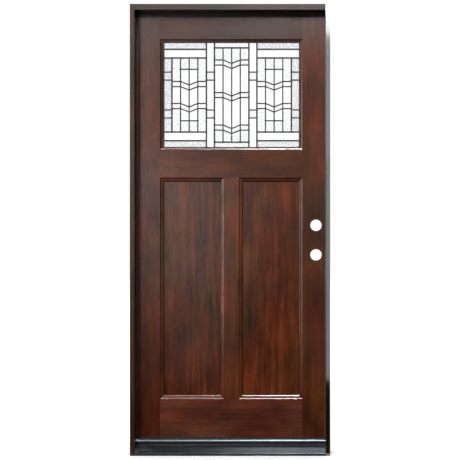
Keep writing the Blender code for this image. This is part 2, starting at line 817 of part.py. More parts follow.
def hinge_leaf(name, side, knuckles, cutters, material):
    """One leaf about the pin's axis, z from the hinge's base. side is -1 on the frame and 1 on
    the door. knuckles are the places, from the bottom, of the knuckles that it carries."""
    inner = side * SIDE_GAP / 2
    outer = inner + side * LEAF_THICKNESS
    near, far = sorted((inner, outer))
    plate_end = -PIN_STANDOFF
    plate_start = plate_end - LEAF_WIDTH
    leaf = box(
        f"{name}_plate", (near, plate_start, 0.0), (far, plate_end, HINGE_HEIGHT), cutters
    )
    pitch = HINGE_HEIGHT / KNUCKLE_COUNT
    for place in knuckles:
        low, high = place * pitch + SEAT_GAP, (place + 1) * pitch - SEAT_GAP
        web = box(
            f"{name}_web_{place}", (near, plate_end - OVERCUT, low), (far, 0.0, high), cutters
        )
        barrel = cylinder(
            f"{name}_knuckle_{place}",
            KNUCKLE_RADIUS,
            high - low,
            Matrix.Translation((0.0, 0.0, (low + high) / 2)),
            cutters,
            KNUCKLE_SIDES,
        )
        combine(leaf, as_cutter(web), "UNION")
        combine(leaf, as_cutter(barrel), "UNION")
    hole = cylinder(
        f"{name}_pin_hole",
        PIN_RADIUS + BORE_CLEARANCE,
        HINGE_HEIGHT + 2 * OVERCUT,
        Matrix.Translation((0.0, 0.0, HINGE_HEIGHT / 2)),
        cutters,
        PIN_SIDES,
    )
    combine(leaf, as_cutter(hole))
    radii = (SCREW_HEAD_RADIUS, SCREW_RADIUS)[::side]
    for across, height in screw_places():
        sink = cylinder(
            f"{name}_screw",
            radii[0],
            LEAF_THICKNESS + 2 * SCREW_OVERCUT,
            Matrix.Translation(((near + far) / 2, across, height)) @ SECTION,
            cutters,
            SCREW_SIDES,
            end_radius=radii[1],
        )
        combine(leaf, as_cutter(sink))
    return settled(leaf, cutters, material)


def pin_mesh(material):
    """A hinge pin with a button head, turned from its half profile, z from the hinge's base."""
    top = HINGE_HEIGHT + SEAT_GAP
    profile = [
        (0.0, top + PIN_HEAD_HEIGHT),
        (PIN_HEAD_RADIUS * 0.6, top + PIN_HEAD_HEIGHT),
        (PIN_HEAD_RADIUS, top + PIN_HEAD_HEIGHT * 0.5),
        (PIN_HEAD_RADIUS, top),
        (PIN_RADIUS, top),
        (PIN_RADIUS, PIN_RADIUS / 2),
        (PIN_RADIUS / 2, 0.0),
        (0.0, 0.0),
    ]
    mesh = bpy.data.meshes.new("hinge_pin")
    mesh.from_pydata([(x, 0.0, z) for x, z in profile], [(i, i + 1) for i in range(7)], [])
    mesh.materials.append(material)
    return mesh


def hang_leaf(door):
    """Parents the leaf's pieces to an empty on the hinge axis."""
    swing = bpy.data.objects.new("door_swing", None)
    swing.empty_display_size = HINGE_HEIGHT
    swing.location = (PIN_X, PIN_Y, DOOR_BOTTOM)
    pieces = list(door.objects)
    door.objects.link(swing)
    bpy.context.view_layer.update()
    for piece in pieces:
        piece.parent = swing
        piece.matrix_parent_inverse = swing.matrix_world.inverted()


def build_hinges(door, frame, cutters, stile, jamb, steel):
    """Three butt hinges let into the leaf's edge and the hinge jamb."""
    frame_leaf = hinge_leaf("frame_leaf", -1, (0, 2, 4), cutters, steel)
    door_leaf = hinge_leaf("door_leaf", 1, (1, 3), cutters, steel)
    pin = pin_mesh(steel)
    pocket = LEAF_THICKNESS + SEAT_GAP
    for number, middle in enumerate(HINGE_HEIGHTS, start=1):
        base = middle - HINGE_HEIGHT / 2
        low_y = PIN_Y - PIN_STANDOFF - LEAF_WIDTH - SEAT_GAP
        low_z, high_z = base - SEAT_GAP, base + HINGE_HEIGHT + SEAT_GAP
        mortise = box(
            f"door_mortise_{number}",
            (-HALF_DOOR - OVERCUT, low_y, low_z),
            (-HALF_DOOR + pocket, INDOORS + OVERCUT, high_z),
            cutters,
        )
        combine(stile, as_cutter(mortise))
        mortise = box(
            f"jamb_mortise_{number}",
            (-HALF_RABBET - pocket, low_y, low_z),
            (-HALF_RABBET + OVERCUT, INDOORS + OVERCUT, high_z),
            cutters,
        )
        combine(jamb, as_cutter(mortise))
        for label, mesh, collection in (
            ("frame_leaf", frame_leaf, frame),
            ("door_leaf", door_leaf, door),
            ("pin", pin, frame),
        ):
            piece = add_object(f"hinge_{label}_{number}", mesh, collection)
            piece.location = (PIN_X, PIN_Y, base)
            if label == "pin":
                turned = piece.modifiers.new("turned", "SCREW")
                turned.steps = turned.render_steps = PIN_SIDES
                turned.use_merge_vertices = True
                turned.merge_threshold = 1e-5


def main():
    clear_scene()
    whole = new_collection("front_door", bpy.context.scene.collection)
    door = new_collection("door_leaf", whole)
    frame = new_collection("door_frame", whole)
    cutters = new_collection("cutters", bpy.context.scene.collection)

    leaf_timber = new_material("stained mahogany", (0.105, 0.036, 0.020), 0.38)
    panel_timber = new_material("stained mahogany panel", (0.098, 0.036, 0.020), 0.40)
    jamb_timber = new_material("stained jamb timber", (0.090, 0.045, 0.032), 0.42)
    stop_timber = new_material("stained stop timber", (0.100, 0.036, 0.021), 0.38)
    clear = new_material("clear glass", (0.93, 0.95, 0.94), 0.02, transmission=1.0)
    came_metal = new_material("blackened zinc came", (0.035, 0.035, 0.04), 0.45, 0.8)
    spacer_metal = new_material("spacer bar", (0.25, 0.25, 0.26), 0.4, 0.9)
    deck_metal = new_material("black anodised deck", (0.045, 0.055, 0.062), 0.32, 0.7)
    cap_finish = new_material("black threshold cap", (0.040, 0.050, 0.058), 0.25, 0.3)
    composite = new_material("black composite", (0.020, 0.020, 0.022), 0.6)
    rubber = new_material("black weatherstrip", (0.012, 0.012, 0.012), 0.7)
    steel = new_material("oil-rubbed hinge steel", (0.050, 0.042, 0.036), 0.38, 0.9)

    members = build_leaf_frame(door, cutters, leaf_timber)
    bore_lock_stile(members["lock_stile"], cutters)
    build_panels(door, panel_timber)
    build_glass(door, cutters, clear, came_metal, spacer_metal, stop_timber)
    build_sweep(door, rubber)
    hinge_jamb, leg_stops = build_jambs(frame, cutters, jamb_timber)
    build_weatherstrips(frame, rubber)
    build_threshold(frame, leg_stops, composite, deck_metal, cap_finish)
    build_hinges(door, frame, cutters, members["hinge_stile"], hinge_jamb, steel)
    hang_leaf(door)


main()
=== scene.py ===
"""Finishes, leaded light, hinge screws and studio for the pre-hung front door.

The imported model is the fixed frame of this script: metres, +Z up, the door in the XZ plane with
its outdoor side towards -Y. The timber, metal and seals are dressed in place. The leaded light,
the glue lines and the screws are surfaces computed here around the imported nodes.
"""

import logging
import math
from dataclasses import dataclass, field, replace
from enum import Enum
from itertools import product

import bpy
import numpy as np
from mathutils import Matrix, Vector


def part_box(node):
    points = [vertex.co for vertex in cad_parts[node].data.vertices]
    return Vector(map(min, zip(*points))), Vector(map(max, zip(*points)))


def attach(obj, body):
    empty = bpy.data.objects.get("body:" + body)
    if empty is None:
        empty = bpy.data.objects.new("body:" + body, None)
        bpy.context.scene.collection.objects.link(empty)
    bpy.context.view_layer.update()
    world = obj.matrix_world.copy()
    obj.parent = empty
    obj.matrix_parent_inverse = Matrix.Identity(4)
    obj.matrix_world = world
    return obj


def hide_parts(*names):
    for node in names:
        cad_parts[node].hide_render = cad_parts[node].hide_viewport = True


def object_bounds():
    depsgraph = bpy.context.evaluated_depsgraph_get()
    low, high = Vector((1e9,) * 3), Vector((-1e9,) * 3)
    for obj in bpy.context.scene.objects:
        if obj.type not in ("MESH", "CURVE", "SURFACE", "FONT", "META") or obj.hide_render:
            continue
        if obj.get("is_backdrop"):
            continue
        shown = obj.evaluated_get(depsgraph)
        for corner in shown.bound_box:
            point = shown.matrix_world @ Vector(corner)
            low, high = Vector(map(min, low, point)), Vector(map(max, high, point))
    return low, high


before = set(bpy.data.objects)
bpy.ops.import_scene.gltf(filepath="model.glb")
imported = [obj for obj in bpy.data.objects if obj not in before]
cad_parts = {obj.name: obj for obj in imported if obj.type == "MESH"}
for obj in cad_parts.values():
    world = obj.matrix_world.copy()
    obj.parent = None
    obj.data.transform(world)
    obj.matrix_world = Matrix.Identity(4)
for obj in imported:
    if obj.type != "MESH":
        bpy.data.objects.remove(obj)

LOG = logging.getLogger("front_door")

Array = np.ndarray
Material = bpy.types.Material
Piece = bpy.types.Object
Pair = tuple[float, float]
Place = tuple[float, float, float]
Colour = tuple[float, float, float]
Socket = bpy.types.NodeSocket
Stops = list[tuple[float, Colour]]
Tones = tuple[tuple[str, float], ...]
Column = tuple[float, float, float, list[Pair]]
Faces = list[list[int]]

UNIT: Colour = (1.0, 1.0, 1.0)
# Painted shade: the near-black colour laid into the quirks of the mouldings.
QUIRK_SHADE: Colour = (0.0035, 0.0022, 0.0016)
NOISE_RANGE = (0.3, 0.7)
SHARP_ANGLE = math.radians(38.0)
HINGES = (1, 2, 3)


class Grain(Enum):
    """The way that the fibres of a board run."""

    UPRIGHT = "upright"
    LEVEL = "level"


class GlassKind(Enum):
    """The sheet that a piece of the leaded light is cut from."""

    ROLLED = "rolled_glass"
    SEEDY = "seedy_glass"
    CLEAR = "plain_glass"


class Graph:
    """A node tree, with short ways to add and join its nodes."""

    def __init__(self, tree: bpy.types.NodeTree) -> None:
        """Takes the tree that the nodes are added to."""
        self.tree = tree

    def add(self, kind: str, inputs: dict | tuple = (), **settings: object) -> bpy.types.Node:
        """Adds a node.

        Args:
            kind: the node's type, without the ShaderNode prefix.
            inputs: what its sockets are fed with, by name or number or else from the first on.
            settings: values of the node's own properties.

        Returns:
            The new node.
        """
        node = self.tree.nodes.new("ShaderNode" + kind)
        for name, value in settings.items():
            setattr(node, name, value)
        for key, value in inputs.items() if isinstance(inputs, dict) else enumerate(inputs):
            self.feed(node.inputs[key], value)
        return node

    def feed(self, socket: Socket, value: object) -> None:
        """Joins a socket to another, or sets its value.

        Args:
            socket: the input.
            value: an output socket, a number or a tuple of numbers.
        """
        if isinstance(value, bpy.types.NodeSocket):
            self.tree.links.new(value, socket)
        elif isinstance(value, tuple) and len(socket.default_value) == len(value) + 1:
            socket.default_value = (*value, 1.0)
        else:
            socket.default_value = value

    def place(self, scale: Place, offset: Place = (0.0, 0.0, 0.0)) -> Socket:
        """Object coordinates times scale plus offset."""
        return self.stretch(self.add("TexCoord").outputs["Object"], scale, offset)

    def stretch(self, vector: Socket, scale: Place, offset: Place = (0.0, 0.0, 0.0)) -> Socket:
        """A vector times scale plus offset."""
        inputs = {"Vector": vector, "Scale": scale, "Location": offset}
        return self.add("Mapping", inputs).outputs["Vector"]

    def noise(self, at: Socket, scale: float, detail: float = 2.0, rough: float = 0.5) -> Socket:
        """Noise between about 0.2 and 0.8, with scale cycles a metre and detail finer octaves."""
        inputs = {"Vector": at, "Scale": scale, "Detail": detail, "Roughness": rough}
        return self.add("TexNoise", inputs).outputs[0]

    def math(self, operation: str, first: object, second: object = 0.0) -> Socket:
        """The result of a Math node on two sockets or numbers."""
        return self.add("Math", (first, second), operation=operation).outputs[0]

    def triple(self, value: Socket) -> Socket:
        """A vector, or a grey colour, that has the value in all three places."""
        return self.add("CombineXYZ", (value, value, value)).outputs[0]

    def span(
        self, value: Socket, start: float, end: float, low: object, high: float, **settings: str
    ) -> Socket:
        """A value moved from the range start to end into the range low to high, and held there."""
        return self.add("MapRange", (value, start, end, low, high), **settings).outputs[0]

    def ramp(self, value: Socket, stops: Stops) -> Socket:
        """A colour ramp.

        Args:
            value: the factor.
            stops: pairs of position and linear colour, from low to high.

        Returns:
            The colour socket.
        """
        node = self.add("ValToRGB", (value,))
        elements = node.color_ramp.elements
        while len(elements) < len(stops):
            elements.new(1.0)
        for element, (position, colour) in zip(elements, stops):
            element.position = position
            element.color = (*colour, 1.0)
        return node.outputs["Color"]

    def blend(self, factor: object, first: object, second: object, mode: str = "MIX") -> Socket:
        """Two colours mixed in a blend mode, with factor as the share of the second one."""
        inputs = {"Factor": factor, 6: first, 7: second}
        return self.add("Mix", inputs, data_type="RGBA", blend_type=mode).outputs[2]


class Finish(Graph):
    """The node tree of one material."""

    def __init__(self, name: str) -> None:
        """Starts a material with an empty Principled surface.

        Args:
            name: the material's name.
        """
        self.material = bpy.data.materials.new(name)
        self.material.use_nodes = True
        super().__init__(self.material.node_tree)
        self.shader = self.tree.nodes["Principled BSDF"]

    def set(self, **values: object) -> None:
        """Feeds inputs of the Principled surface; an underscore stands for a space."""
        for name, value in values.items():
            self.feed(self.shader.inputs[name.replace("_", " ")], value)

    def bump(self, height: Socket, strength: float, distance: float) -> None:
        """Tilts the normal by a share of a height, which is distance metres where it is one."""
        node = self.add("Bump", {"Strength": strength, "Distance": distance, "Height": height})
        self.set(Normal=node.outputs["Normal"])

    def skin(self, tint: Socket, stops: Stops, fine: Socket, gloss: Pair, **values: object) -> None:
        """Feeds the colour from the noise tint, the roughness from fine, and other inputs."""
        rough = self.span(fine, *NOISE_RANGE, *gloss)
        self.set(Base_Color=self.ramp(tint, stops), Roughness=rough, **values)


@dataclass(frozen=True)
class Quirks:
    """Where painted shade darkens the quirks of the mouldings: a band on each axis as (centre,
    start, end) of the distance from the centre. Painted shade lies before the start and none after
    the end, or the other way round where the end is the smaller one."""

    bands: tuple[tuple[float, float, float] | None, ...]
    every: bool

    def mask(self, graph: Graph) -> Socket:
        """The share of painted shade: the product of the axes' shares if every band has to hold, or
        else the largest of them.

        Args:
            graph: the material that the nodes are added to.

        Returns:
            The value socket.
        """
        split = graph.add("SeparateXYZ", (graph.add("TexCoord").outputs["Object"],))
        join = "MULTIPLY" if self.every else "MAXIMUM"
        share: Socket | None = None
        for axis, band in enumerate(self.bands):
            if band is None:
                continue
            centre, start, end = band
            away = graph.math("ABSOLUTE", graph.math("SUBTRACT", split.outputs[axis], centre))
            shares = (1.0, 0.0) if start < end else (0.0, 1.0)
            here = graph.span(away, min(start, end), max(start, end), *shares)
            share = here if share is None else graph.math(join, share, here)
        return share


@dataclass(frozen=True)
class Timber:
    """Stained hardwood under a satin lacquer.

    The shade is a weighted sum of slow bands across the board, fine streaks along it and broad
    clouds. A slower noise turns the hue, and short dark pores are multiplied in. Scales are in
    cycles a metre, and an "along" is the share left of a scale in the direction of the fibres.
    """

    light: Colour = (0.160, 0.0400, 0.0110)
    middle: Colour = (0.080, 0.0190, 0.0055)
    dark: Colour = (0.028, 0.0075, 0.0027)
    stain_steps: tuple[float, float, float] = (0.38, 0.50, 0.62)
    cooler: Colour = (0.80, 1.0, 0.98)
    warmer: Colour = (1.0, 0.84, 0.86)
    band_weight: float = 0.28
    streak_weight: float = 0.17
    cloud_weight: float = 0.55
    band_scale: float = 60.0
    streak_scale: float = 210.0
    cloud_scale: float = 11.0
    hue_scale: float = 7.0
    drift_scale: float = 26.0
    pore_scale: float = 1500.0
    pore_steps: Pair = (0.60, 0.68)
    pore_shade: float = 0.45
    along: float = 0.045
    cloud_along: float = 0.45
    pore_draw: float = 0.45
    wander: float = 0.014
    log_reach: float = 40.0
    roughness: float = 0.21
    roughness_spread: Pair = (-0.03, 0.05)
    specular: float = 0.24
    ior: float = 1.5
    streak_height: float = 0.35
    relief_strength: float = 0.35
    relief: float = 0.00025
    coat: float = 0.0
    coat_roughness: float = 0.08
    coat_ior: float = 1.5
    # Where painted shade darkens the colour in the quirks of the mouldings.
    quirks: Quirks | None = None

    def dress(self, name: str, grain: Grain, board: int, tone: float = 1.0) -> Material:
        """Makes the material of one board.

        Args:
            name: the material's name.
            grain: the way that the fibres run.
            board: number of the board, which picks its place in the log.
            tone: how much paler than the rest the board took the stain.

        Returns:
            The material.
        """
        graph = Finish(name)
        reach = np.random.default_rng(board).uniform(-self.log_reach, self.log_reach, 3)
        still = graph.place(UNIT, tuple(float(v) for v in reach))
        grown, clouded, fine = (
            (1.0, 1.0, share) if grain is Grain.UPRIGHT else (share, 1.0, 1.0)
            for share in (self.along, self.cloud_along, self.along * self.pore_draw)
        )
        drift = graph.noise(graph.stretch(still, grown), self.drift_scale, 1.0)
        drift = graph.math("MULTIPLY", drift, self.wander)
        wander = graph.add("VectorMath", (still, graph.triple(drift)), operation="ADD")
        fibres = graph.stretch(wander.outputs[0], grown)
        bands = graph.noise(fibres, self.band_scale, 4.0, 0.62)
        streaks = graph.noise(fibres, self.streak_scale, 3.0, 0.6)
        cloud = graph.noise(graph.stretch(still, clouded), self.cloud_scale, 3.0)
        shade = graph.math("MULTIPLY", bands, self.band_weight)
        for part, weight in ((streaks, self.streak_weight), (cloud, self.cloud_weight)):
            shade = graph.math("ADD", shade, graph.math("MULTIPLY", part, weight))
        stains = [tuple(tone * c for c in stain) for stain in (self.dark, self.middle, self.light)]
        stain = graph.ramp(shade, list(zip(self.stain_steps, stains)))
        hue = graph.noise(graph.stretch(still, clouded), self.hue_scale, 2.0)
        hues = [(self.stain_steps[0], self.cooler), (self.stain_steps[-1], self.warmer)]
        colour = graph.blend(1.0, stain, graph.ramp(hue, hues), "MULTIPLY")
        speckle = graph.noise(graph.stretch(still, fine), self.pore_scale, 1.0, 0.4)
        pores = graph.span(speckle, *self.pore_steps, 0.0, 1.0)
        shaded = graph.triple(graph.span(pores, 0.0, 1.0, 1.0, self.pore_shade))
        colour = graph.blend(1.0, colour, shaded, "MULTIPLY")
        # Painted shade darkens the quirks of the mouldings to near black.
        if self.quirks:
            colour = graph.blend(self.quirks.mask(graph), colour, QUIRK_SHADE)
        gloss = [self.roughness + spread for spread in self.roughness_spread]
        graph.set(
            Base_Color=colour,
            Roughness=graph.span(streaks, *NOISE_RANGE, *gloss),
            Specular_IOR_Level=self.specular,
            IOR=self.ior,
            Coat_Weight=self.coat,
            Coat_Roughness=self.coat_roughness,
            Coat_IOR=self.coat_ior,
        )
        height = graph.math("MULTIPLY", streaks, self.streak_height)
        graph.bump(graph.math("SUBTRACT", height, pores), self.relief_strength, self.relief)
        return graph.material


@dataclass(frozen=True)
class Metal:
    """A metal with fine drawn lines along X and a mottled lustre."""

    name: str
    colour: Colour
    worn: Colour
    metallic: float
    roughness: float
    drawn: float
    specular: float = 0.5
    coat: float = 0.0
    line_scale: float = 900.0
    mottle_scale: float = 60.0
    mottle_steps: Pair = (0.38, 0.66)
    gloss: Pair = (0.8, 1.25)
    relief: float = 0.00008

    def dress(self) -> Material:
        """Makes the material.

        Returns:
            The material.
        """
        graph = Finish(self.name)
        lines = graph.noise(graph.place((self.drawn, 1.0, 1.0)), self.line_scale, 3.0, 0.6)
        mottle = graph.noise(graph.place(UNIT), self.mottle_scale, 4.0, 0.6)
        stops = list(zip(self.mottle_steps, (self.colour, self.worn)))
        gloss = [self.roughness * factor for factor in self.gloss]
        values = {"Specular_IOR_Level": self.specular, "Coat_Weight": self.coat}
        graph.skin(mottle, stops, lines, gloss, Metallic=self.metallic, **values)
        graph.bump(lines, 0.2, self.relief)
        return graph.material


@dataclass(frozen=True)
class Moulded:
    """A moulded plastic, composite or rubber with a fine skin."""

    name: str
    colour: Colour
    roughness: float
    grain_scale: float
    grain_depth: float
    specular: float = 0.4
    fade_scale: float = 14.0
    fade_steps: Pair = (0.35, 0.7)
    fade: float = 1.35
    dust: float = 0.002
    gloss: Pair = (0.85, 1.15)

    def dress(self) -> Material:
        """Makes the material.

        Returns:
            The material.
        """
        graph = Finish(self.name)
        skin = graph.noise(graph.place(UNIT), self.grain_scale, 4.0, 0.65)
        broad = graph.noise(graph.place(UNIT), self.fade_scale, 2.0)
        paler = tuple(min(1.0, c * self.fade + self.dust) for c in self.colour)
        stops = list(zip(self.fade_steps, (self.colour, paler)))
        gloss = [self.roughness * factor for factor in self.gloss]
        graph.skin(broad, stops, skin, gloss, Specular_IOR_Level=self.specular)
        graph.bump(skin, 0.3, self.grain_depth)
        return graph.material


@dataclass(frozen=True)
class Glass:
    """Soda glass; a texture darkens and blurs the rolled and seedy sheets. The darkening is
    painted shade, for the dimmer surroundings that their ripples would bend into view.

    The faces of a cut piece are grids of the pitch, with waves of the height wave.
    """

    name: str
    pale: Colour
    # deep: the colour of the painted shade in the texture.
    deep: Colour
    scale: float
    frost: float
    relief: float
    pitch: float = 0.02
    wave: float = 0.0
    painted_mottle_steps: Pair = (0.38, 0.54)
    ior: float = 1.5

    def dress(self) -> Material:
        """Makes the material.

        Returns:
            The material.
        """
        graph = Finish(self.name)
        sheet = graph.noise(graph.place(UNIT), self.scale, 3.0, 0.6)
        # Painted shade: the texture darkens the light that passes through the glass.
        stops = list(zip(self.painted_mottle_steps, (self.deep, self.pale)))
        graph.skin(sheet, stops, sheet, (self.frost, 0.0), Transmission_Weight=1.0, IOR=self.ior)
        if self.relief:
            graph.bump(sheet, 0.6, self.relief)
        return graph.material


@dataclass
class MeshParts:
    """The vertices and faces of a mesh, collected part by part."""

    points: list[Array] = field(default_factory=list)
    faces: Faces = field(default_factory=list)
    count: int = 0

    def join(self, points: Array, faces: Faces) -> None:
        """Adds a part.

        Args:
            points: the part's vertices (n, 3), in metres.
            faces: its faces, which number its own vertices.
        """
        self.faces += [[vertex + self.count for vertex in face] for face in faces]
        self.points.append(points)
        self.count += len(points)

    def piece(self, name: str, material: Material, smooth: bool = True) -> Piece:
        """Makes a mesh object at the origin.

        Args:
            name: the piece's name.
            material: the piece's finish.
            smooth: True for smooth shading with sharp edges kept.

        Returns:
            The object, linked to the scene.
        """
        mesh = bpy.data.meshes.new(name)
        mesh.from_pydata(np.vstack(self.points), [], self.faces)
        mesh.materials.append(material)
        mesh.update()
        if smooth:
            mesh.shade_smooth()
            mesh.set_sharp_from_angle(angle=SHARP_ANGLE)
        piece = bpy.data.objects.new(name, mesh)
        bpy.context.scene.collection.objects.link(piece)
        return piece


def tube_faces(rings: int, around: int, copies: int = 1, flip: bool = False) -> Faces:
    """Faces of tubes with closed ends: ring i joins ring i + 1, and point j joins point j + 1.

    Args:
        rings: number of rings of a tube.
        around: points of each ring.
        copies: number of tubes, one after another.
        flip: True to turn the faces to the other side.

    Returns:
        Lists of vertex numbers.
    """
    row, column = np.indices((rings - 1, around))
    after = (column + 1) % around
    corners = ((row, column), (row, after), (row + 1, after), (row + 1, column))
    quads = np.stack([r * around + c for r, c in corners], -1).reshape(-1, 4).tolist()
    size = rings * around
    faces = [*quads, list(range(around))[::-1], list(range(size - around, size))]
    if flip:
        faces = [face[::-1] for face in faces]
    return [[vertex + copy * size for vertex in face] for copy in range(copies) for face in faces]


def plate_faces(across: int, up: int) -> Faces:
    """Faces of a closed plate whose front grid comes first and back grid second.

    Args:
        across: points in a row.
        up: rows.

    Returns:
        Lists of vertex numbers.
    """
    rows, columns = np.indices((up - 1, across - 1))
    corner = (rows * across + columns).ravel()
    front = np.column_stack([corner, corner + 1, corner + across + 1, corner + across])
    back = front[:, ::-1] + across * up
    bottom = np.arange(across)
    right = np.arange(1, up) * across + across - 1
    top = np.arange(across - 2, -1, -1) + across * (up - 1)
    left = np.arange(up - 2, 0, -1) * across
    rim = np.concatenate([bottom, right, top, left])
    after = np.roll(rim, -1)
    walls = np.column_stack([after, rim, rim + across * up, after + across * up])
    return np.vstack([front, back, walls]).tolist()


# The deep colours of the rolled and seedy sheets are painted shade in their texture.
SHEETS = {
    GlassKind.ROLLED: Glass(
        "rolled_sheet", (0.94, 0.95, 0.965), (0.44, 0.45, 0.475), 210.0, 0.3, 0.0012, 0.0025, 8e-5
    ),
    GlassKind.SEEDY: Glass(
        "seedy_sheet", UNIT, (0.70, 0.72, 0.735), 150.0, 0.12, 0.0004, 0.005, 3e-5
    ),
    GlassKind.CLEAR: Glass("plain_sheet", UNIT, (0.985, 0.99, 0.99), 30.0, 0.02, 0.0),
}


@dataclass
class LeadedLight:
    """The leaded light between the panes: its cames, solder joints and cut glass.

    The light has border columns at its edges and strips of the same width between its fields.
    A share is part of half the light's height, and a zone came parts two kinds of columns.
    """

    borders: tuple[int, ...] = (0, 15)
    strips: tuple[int, ...] = (5, 10)
    middle_field: range = range(6, 10)
    zone_cames: tuple[int, ...] = (0, 4, 5, 9, 10, 14)
    fields: int = 3
    cells: int = 4
    chevron_slopes: tuple[tuple[int, int], ...] = ((0, 0), (0, 1), (1, 0), (0, 0))
    border_showing: float = 0.0075
    border_showing_ends: float = 0.0040
    came_width: float = 0.0060
    heavy_width: float = 0.0074
    came_thickness: float = 0.0052
    channel: float = 0.0034
    heart: float = 0.0012
    crown: float = 0.0004
    crown_fall: float = 1.6
    crown_points: int = 9
    border_column: float = 0.038
    outer_band: float = 0.0325
    inner_band: float = 0.041
    middle_band: float = 0.0255
    tile_height: float = 0.038
    tile_share: float = 0.360
    chevron_band: float = 0.0242
    chevron_drop: float = 0.0165
    side_chevron_share: float = 0.209
    middle_chevron_share: float = 0.619
    short_bar_share: float = 0.489
    glass_thickness: float = 0.0030
    glass_play: float = 0.0002
    wave_count: int = 18
    wave_lengths: Pair = (0.005, 0.016)
    joint_reach: float = 0.0025
    solder_radius: float = 0.0045
    solder_height: float = 0.0006
    solder_points: int = 14
    solder_spread: Pair = (0.88, 1.12)
    solder_wavers: Pair = (0.10, 0.07)
    solder_rings: tuple[float, ...] = (0.02, 0.45, 0.8, 1.0, 0.98, 0.02)
    solder_lifts: tuple[float, ...] = (1.0, 0.82, 0.42, 0.0, -0.35, -0.35)
    half_width: float = field(init=False)
    half_height: float = field(init=False)
    centre: Vector = field(init=False)
    high: Vector = field(init=False)

    def __post_init__(self) -> None:
        """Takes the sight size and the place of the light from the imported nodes."""
        low, self.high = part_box("leaded_came")
        sight_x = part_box("glazing_stop_right")[0].x
        sight_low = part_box("glazing_stop_bottom")[1].z
        sight_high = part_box("glazing_stop_top")[0].z
        self.centre = Vector((0.0, (low.y + self.high.y) / 2, (sight_low + sight_high) / 2))
        half_came = self.came_width / 2
        self.half_width = sight_x - self.border_showing + half_came
        self.half_height = (sight_high - sight_low) / 2 - self.border_showing_ends + half_came

    def columns(self) -> list[Column]:
        """The columns of the light, from left to right.

        Returns:
            For each column its left edge, right edge, the height of its end above the middle,
            and the cames that cross it as (height at left, height at right).
        """
        edges = (self.fields + 1) * self.border_column
        cell = (2 * self.half_width - edges) / (self.fields * self.cells)
        side_top = self.half_height - self.outer_band - self.inner_band
        middle_top = self.half_height - self.middle_band
        half_tile, half_band = self.tile_height / 2, self.chevron_band / 2
        tile = self.tile_share * self.half_height
        tiles = [s * tile + e for s in (-1, 1) for e in (-half_tile, half_tile)]
        short = self.short_bar_share * self.half_height
        widths = ([self.border_column] + [cell] * self.cells) * self.fields + [self.border_column]
        columns, left = [], -self.half_width
        for index, width in enumerate(widths):
            place, middle = index % (self.cells + 1), index in self.middle_field
            if place == 0:
                levels = [(z, z) for z in tiles]
            else:
                share = self.middle_chevron_share if middle else self.side_chevron_share
                rows = [s * self.half_height * share for s in ((-1, 0, 1) if middle else (-1, 1))]
                falls = [slope * self.chevron_drop for slope in self.chevron_slopes[place - 1]]
                bands = [row + e for row in rows for e in (-half_band, half_band)]
                levels = [(z - falls[0], z - falls[1]) for z in bands]
                if place in (2, 3) and not middle:
                    levels += [(-short, -short), (short, short)]
            end = middle_top if middle else side_top
            if index in self.strips:
                end = self.half_height
            columns.append((left, left + width, end, sorted(levels)))
            left += width
        return columns

    def bands(self) -> list[tuple[float, float, list[float]]]:
        """The level bands at the top of each zone.

        Returns:
            For each zone its left edge, right edge, and the distances of the bands' cames from
            the middle of the light, from the border inwards.
        """
        columns = self.columns()
        side, middle = [self.half_height], [self.half_height]
        side += [side[0] - self.outer_band, side[0] - self.outer_band - self.inner_band]
        middle += [middle[0] - self.middle_band]
        zones = ((0, 4, side), (6, 9, middle), (11, 15, side))
        return [(columns[first][0], columns[last][1], heights) for first, last, heights in zones]

    def bars(self) -> tuple[Array, Array]:
        """The centre lines of the inner cames, each as x, z at one end and x, z at the other.

        Returns:
            The fine cames (n, 4) inside the zones and the heavy ones (m, 4) that part the zones.
        """
        columns = self.columns()
        fine, heavy = [], []
        for index, (before, after) in enumerate(zip(columns, columns[1:])):
            end = max(before[2], after[2])
            kind = heavy if index in self.zone_cames else fine
            kind.append((after[0], -end, after[0], end))
        for left, right, _, levels in columns:
            fine += [(left, low, right, high) for low, high in levels]
        for left, right, heights in self.bands():
            heavy += [(left, side * z, right, side * z) for z in heights[1:] for side in (-1, 1)]
        return np.array(fine), np.array(heavy)

    def profile(self, width: float) -> Array:
        """The H section of a came: two leaves joined by a heart. A leaf falls from its crown with
        the fourth power of the distance from the middle.

        Args:
            width: width of the leaves.

        Returns:
            Array (p, 2) of places across the came and through it, in order around it.
        """
        half, inside, core = width / 2, self.channel / 2, self.heart / 2
        across = np.linspace(half, -half, self.crown_points)
        arch = self.came_thickness / 2 - self.crown * (across / half) ** 4 * self.crown_fall
        top = np.column_stack([across, arch])
        left = np.array([(-half, inside), (-core, inside), (-core, -inside), (-half, -inside)])
        return np.vstack([top, left, -top, -left])

    def came_mesh(self, bars: Array, width: float) -> tuple[Array, Faces]:
        """Carries the H section along every bar at once: point = end + across * normal +
        through * Y.

        Args:
            bars: centre lines, (n, 4).
            width: width of the leaves.

        Returns:
            The vertices (v, 3) and the faces.
        """
        across, through = self.profile(width).T
        ends = bars.reshape(-1, 2, 2)
        run = ends[:, 1] - ends[:, 0]
        run = run / np.linalg.norm(run, axis=1, keepdims=True)
        normal = np.column_stack([-run[:, 1], run[:, 0]])[:, None, None]
        points = np.empty((len(bars), 2, len(across), 3))
        points[..., 0] = ends[:, :, None, 0] + normal[..., 0] * across + self.centre.x
        points[..., 1] = self.centre.y - through
        points[..., 2] = ends[:, :, None, 1] + normal[..., 1] * across + self.centre.z
        return points.reshape(-1, 3), tube_faces(2, len(across), len(bars))

